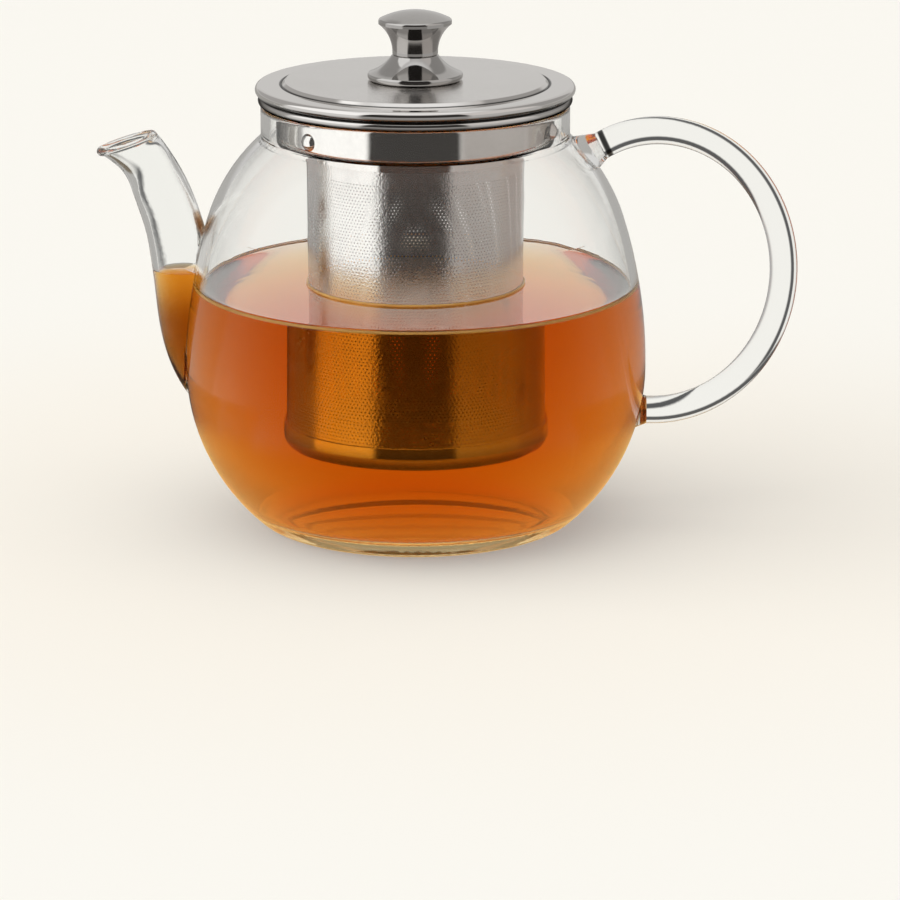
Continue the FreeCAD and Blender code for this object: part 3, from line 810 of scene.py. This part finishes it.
# Windows of the studio as (colour, azimuth span, elevation span, softness), in degrees, with azimuth 0 in
# front and -90 at the left. SOFT_LIGHT lights the surfaces, BRIGHT_FIELD is what glass shows behind it,
# ROD_FIELD the same for the handle's solid rod, INNER_CARDS are what steel mirrors inside the glass, and
# OUTER_CARDS what the outside mirrors. The ground tones lie under the windows.
LIGHT_GROUND = (0.46, 0.455, 0.45)
INNER_GROUND = (0.80, 0.79, 0.77)
OUTER_GROUND = (0.68, 0.67, 0.655)
SOFT_LIGHT = (
    ((2.2, 2.2, 2.16), (-116, -36), (2, 56), 6),
    ((0.62, 0.59, 0.57), (36, 102), (-10, 56), 8),
    ((1.8, 1.8, 1.79), (-200, 200), (56, 100), 6),
)
BRIGHT_FIELD = (
    ((0.12, 0.12, 0.12), (-154, -134), (-95, 95), 4),
    ((0.32, 0.31, 0.30), (-112, -48), (-95, 95), 8),
    ((0.30, 0.29, 0.28), (48, 126), (-95, 95), 8),
    ((0.10, 0.10, 0.10), (-48, 48), (-95, 95), 6),
    ((0.12, 0.12, 0.12), (-200, 200), (4, 44), 4),
)
ROD_FIELD = (
    ((0.45, 0.44, 0.43), (-128, -40), (-95, 95), 10),
    ((0.45, 0.44, 0.43), (40, 132), (-95, 95), 10),
    ((0.45, 0.44, 0.43), (-200, 200), (44, 95), 8),
    ((0.10, 0.10, 0.10), (-164, -150), (-95, 6), 3),
    ((0.10, 0.10, 0.10), (-200, 200), (6, 22), 3),
)
INNER_CARDS = (
    ((0.07, 0.066, 0.063), (-37, 36), (-95, 52), 3),
    ((1.45, 1.45, 1.43), (-101, -37), (-95, 64), 3),
    ((0.52, 0.51, 0.50), (-160, -101), (-95, 60), 5),
    ((0.22, 0.21, 0.20), (-200, -158), (-95, 5), 4),
    ((0.56, 0.525, 0.50), (37, 98), (-95, 60), 4),
    ((0.50, 0.45, 0.42), (98, 150), (-95, 60), 6),
    ((1.2, 1.2, 1.2), (-200, 200), (66, 100), 8),
)
OUTER_CARDS = (
    ((0.36, 0.35, 0.34), (-40, 40), (-95, -3), 4),
    ((0.04, 0.037, 0.035), (-40, 40), (-3, 50), 3),
    ((0.80, 0.79, 0.78), (-106, -40), (-95, 10), 4),
    ((1.25, 1.25, 1.24), (-106, -40), (10, 64), 4),
    ((0.45, 0.44, 0.43), (-160, -106), (6, 60), 4),
    ((0.55, 0.54, 0.53), (40, 100), (-95, 10), 4),
    ((0.75, 0.72, 0.70), (40, 100), (10, 60), 4),
    ((0.40, 0.39, 0.38), (100, 150), (6, 60), 4),
    ((1.05, 1.05, 1.05), (-200, 200), (66, 100), 8),
    ((0.42, 0.41, 0.39), (-176, -106), (-95, 3), 3),
    ((0.42, 0.41, 0.39), (100, 176), (-95, 3), 3),
    ((0.18, 0.15, 0.11), (-176, -70), (-95, -27), 3),
    ((0.18, 0.15, 0.11), (70, 176), (-95, -27), 3),
)

# Tones that the floor and the far field glow with where glass and steel show them: plain, through tea, beside
# the base, and deep in the base's glass. The amber ones are painted light carried through the tea.
PALE_FIELD = (0.90, 0.885, 0.84)
AMBER_GLOW = (0.95, 0.62, 0.24)
GOLDEN_GLINT = (1.0, 0.62, 0.22)
BASE_GLEAM = (1.15, 0.84, 0.45)

# A path that passed more clear surfaces than these is past the rod, the pot's walls or the tea, or was
# trapped in thick glass. One that was mirrored more often than MIRRORED_ONCE was mirrored at least twice.
PAST_ROD = 2.5
PAST_WALLS = 3.5
PAST_TEA = 4.5
TRAPPED = 8.5
MIRRORED_ONCE = 1.5

# How much of the bright field's shape the tea hides, and how much painted amber light it adds to what steel
# mirrors
TEA_HIDES = 0.8
TEA_WARMS = 0.05

# Rings of the floor round the origin, in metres, from where each starts to where it is full
DISTANT = (0.20, 0.34)
WARM_SHADOW_RING = (0.3, 0.1)
NEAR_BASE = (0.13, 0.09)
UNDER_BASE = (0.075, 0.06)

# Points from which the floor's windows are laid out, for the pot and for the handle's rod
POT_VIEW = (0, 0, 0.1)
ROD_VIEW = (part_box("handle")[1].x - ROD_WIDTH, 0, 0)

# The floor: half its side, how far it lies under the base, its darker mottle, and the warm painted shadow
# round the pot
FLOOR_HALF = 6.0
FLOOR_DROP = 0.0003
FLOOR_MOTTLE = 0.985
FLOOR_SHADOW_WARMTH = (1.0, 0.955, 0.90)


def place_sky(tree, way, *sky):
    """Places one sky group and gives its colour that way."""
    return place_group(tree, {"Way": way}, sky_group, *sky)["Colour"]


def view_by_path(tree, way, rod_way, distant, near_base, under_base):
    """What a path sees that way, how far that takes over, and whether the camera looks there directly.

    Through glass it is a bright field, and once mirrored it is cards, with painted amber light near the base.
    """
    path = add(tree, "ShaderNodeLightPath").outputs
    glass_ray, passed, glossy = path["Is Transmission Ray"], path["Transmission Depth"], path["Glossy Depth"]
    mirrored = math_node(tree, "MINIMUM", glossy, 1.0)
    lighting = math_node(tree, "MINIMUM", path["Diffuse Depth"], 1.0)
    inside = math_node(tree, "GREATER_THAN", passed, PAST_WALLS)
    wet = math_node(tree, "GREATER_THAN", passed, PAST_TEA)
    trapped = math_node(tree, "GREATER_THAN", passed, TRAPPED)
    single = math_node(tree, "MULTIPLY", math_node(tree, "LESS_THAN", passed, PAST_ROD), glass_ray)
    twice = math_node(tree, "MULTIPLY", math_node(tree, "GREATER_THAN", glossy, MIRRORED_ONCE),
                      math_node(tree, "GREATER_THAN", passed, PAST_ROD))
    strength = math_node(tree, "MULTIPLY_ADD", wet, -TEA_HIDES, 1.0)
    field_share = math_node(tree, "MULTIPLY", math_node(tree, "MULTIPLY", glass_ray, distant), strength)
    field = place_sky(tree, way, "bright field", PALE_FIELD, BRIGHT_FIELD)
    field = blend(tree, field_share, PALE_FIELD, field)
    rod = place_sky(tree, rod_way, "rod field", PALE_FIELD, ROD_FIELD)
    field = blend(tree, single, field, blend(tree, under_base, rod, AMBER_GLOW))
    inner = place_sky(tree, way, "inner cards", INNER_GROUND, INNER_CARDS)
    warm = math_node(tree, "MAXIMUM", near_base, math_node(tree, "MULTIPLY", wet, TEA_WARMS))
    inner = blend(tree, warm, inner, AMBER_GLOW)
    outer = place_sky(tree, way, "outer cards", OUTER_GROUND, OUTER_CARDS)
    outer = blend(tree, near_base, outer, GOLDEN_GLINT)
    deep = blend(tree, near_base, PALE_FIELD, BASE_GLEAM)
    cards = blend(tree, math_node(tree, "MAXIMUM", twice, trapped), blend(tree, inside, outer, inner), deep)
    colour = blend(tree, mirrored, field, cards)
    through = math_node(tree, "MAXIMUM", math_node(tree, "SUBTRACT", glass_ray, lighting), 0.0)
    return colour, math_node(tree, "MAXIMUM", mirrored, through), path["Is Camera Ray"]


class TEAPOT_OT_stage(bpy.types.Operator):
    """Set the pale floor, the soft studio light and the camera"""

    bl_idname = "teapot.stage"
    bl_label = "Stage"

    def execute(self, context):
        scene, stage = context.scene, context.scene.teapot_stage
        scene.view_settings.view_transform = "Standard"
        scene.cycles.max_bounces = scene.cycles.transmission_bounces = 32
        scene.cycles.glossy_bounces = 16
        self.make_floor(stage)
        self.make_light(stage)
        camera = bpy.data.cameras.new("camera")
        camera.lens, camera.sensor_width = stage.lens, 36.0
        camera.clip_start, camera.clip_end = 0.01, 100.0
        eye = bpy.data.objects.new("camera", camera)
        back = np.array([0, -math.cos(stage.pitch), math.sin(stage.pitch)]) * stage.distance
        eye.location = np.array(stage.aim) + back
        eye.rotation_euler = (math.pi / 2 - stage.pitch, 0, 0)
        scene.collection.objects.link(eye)
        scene.camera = eye
        return {"FINISHED"}

    def make_floor(self, stage):
        """A wide pale floor a hair under the base."""
        mesh = bpy.data.meshes.new("floor")
        sides = (-1, -1), (1, -1), (1, 1), (-1, 1)
        corners = [(x * FLOOR_HALF, y * FLOOR_HALF, -FLOOR_DROP) for x, y in sides]
        mesh.from_pydata(corners, [], [(0, 1, 2, 3)])
        floor = bpy.data.objects.new("floor", mesh)
        bpy.context.scene.collection.objects.link(floor)
        material, tree, shader = fresh_material("pale_floor")
        place = object_place(tree)
        mottle = noise(tree, place, scale=3.0, detail=2.0)
        tone = blend(tree, mottle, stage.floor, [c * FLOOR_MOTTLE for c in stage.floor])
        reach = vector_length(tree, place)
        # A warm painted shadow round the pot, tinted like light through the tea
        warm_shadow_tone = [c * w for c, w in zip(stage.floor, FLOOR_SHADOW_WARMTH)]
        colour = blend(tree, ramp(tree, reach, *WARM_SHADOW_RING), tone, warm_shadow_tone)
        tree.links.new(colour, shader.inputs["Base Color"])
        shader.inputs["Roughness"].default_value = 0.85
        shader.inputs["Specular IOR Level"].default_value = 0.1
        distant = add(tree, "ShaderNodeMapRange", {"Value": reach, 1: DISTANT[0], 2: DISTANT[1]}).outputs[0]
        near_base, under_base = ramp(tree, reach, *NEAR_BASE), ramp(tree, reach, *UNDER_BASE)
        way, rod_way = (add(tree, "ShaderNodeVectorMath", {0: place, 1: eye}, operation="SUBTRACT").outputs[0]
                        for eye in (POT_VIEW, ROD_VIEW))
        colour, shown, direct = view_by_path(tree, way, rod_way, distant, near_base, under_base)
        # The floor glows with what glass and steel see, with painted amber light near the base
        glow = add(tree, "ShaderNodeEmission", {"Color": colour})
        shown = math_node(tree, "MAXIMUM", shown, math_node(tree, "MULTIPLY", direct, stage.lift))
        both = add(tree, "ShaderNodeMixShader", {0: shown, 1: shader.outputs[0], 2: glow.outputs[0]})
        tree.links.new(both.outputs[0], tree.nodes["Material Output"].inputs["Surface"])
        mesh.materials.append(material)

    def make_light(self, stage):
        """A studio sky: soft light for the surfaces, a bright field behind glass, and cards for steel."""
        world = bpy.data.worlds.new("studio")
        bpy.context.scene.world = world
        world.use_nodes = True
        world.cycles.sampling_method = "NONE"
        tree = world.node_tree
        way = add(tree, "ShaderNodeTexCoord").outputs["Generated"]
        light = place_sky(tree, way, "soft light", LIGHT_GROUND, SOFT_LIGHT)
        colour, shown, _ = view_by_path(tree, way, way, 1.0, 0.0, 0.0)
        sky = tree.nodes["Background"]
        tree.links.new(blend(tree, shown, light, colour), sky.inputs["Color"])
        sky.inputs["Strength"].default_value = stage.strength


class TEAPOT_PT_panel(bpy.types.Panel):
    """Lists the teapot's settings and steps"""

    bl_idname = "TEAPOT_PT_panel"
    bl_label = "Teapot"
    bl_space_type = "VIEW_3D"
    bl_region_type = "UI"
    bl_category = "Teapot"

    def draw(self, context):
        for group in GROUPS:
            settings = getattr(context.scene, group)
            box = self.layout.box()
            for key in settings.__annotations__:
                box.prop(settings, key)
        for step in STEPS:
            self.layout.operator(step.bl_idname)


GROUPS = {
    "teapot_glass": GlassSettings,
    "teapot_tea": TeaSettings,
    "teapot_steel": SteelSettings,
    "teapot_stage": StageSettings,
}
STEPS = (TEAPOT_OT_stage, TEAPOT_OT_glass, TEAPOT_OT_tea, TEAPOT_OT_infuser, TEAPOT_OT_lid)


def register():
    for name, group in GROUPS.items():
        bpy.utils.register_class(group)
        setattr(bpy.types.Scene, name, PointerProperty(type=group))
    for made in (*STEPS, TEAPOT_PT_panel):
        bpy.utils.register_class(made)


def unregister():
    for made in reversed((*STEPS, TEAPOT_PT_panel)):
        bpy.utils.unregister_class(made)
    for name, group in reversed(GROUPS.items()):
        delattr(bpy.types.Scene, name)
        bpy.utils.unregister_class(group)


def main():
    register()
    bpy.ops.teapot.stage()
    bpy.ops.teapot.glass()
    bpy.ops.teapot.tea()
    bpy.ops.teapot.infuser()
    bpy.ops.teapot.lid()


if __name__ == "__main__":
    main()
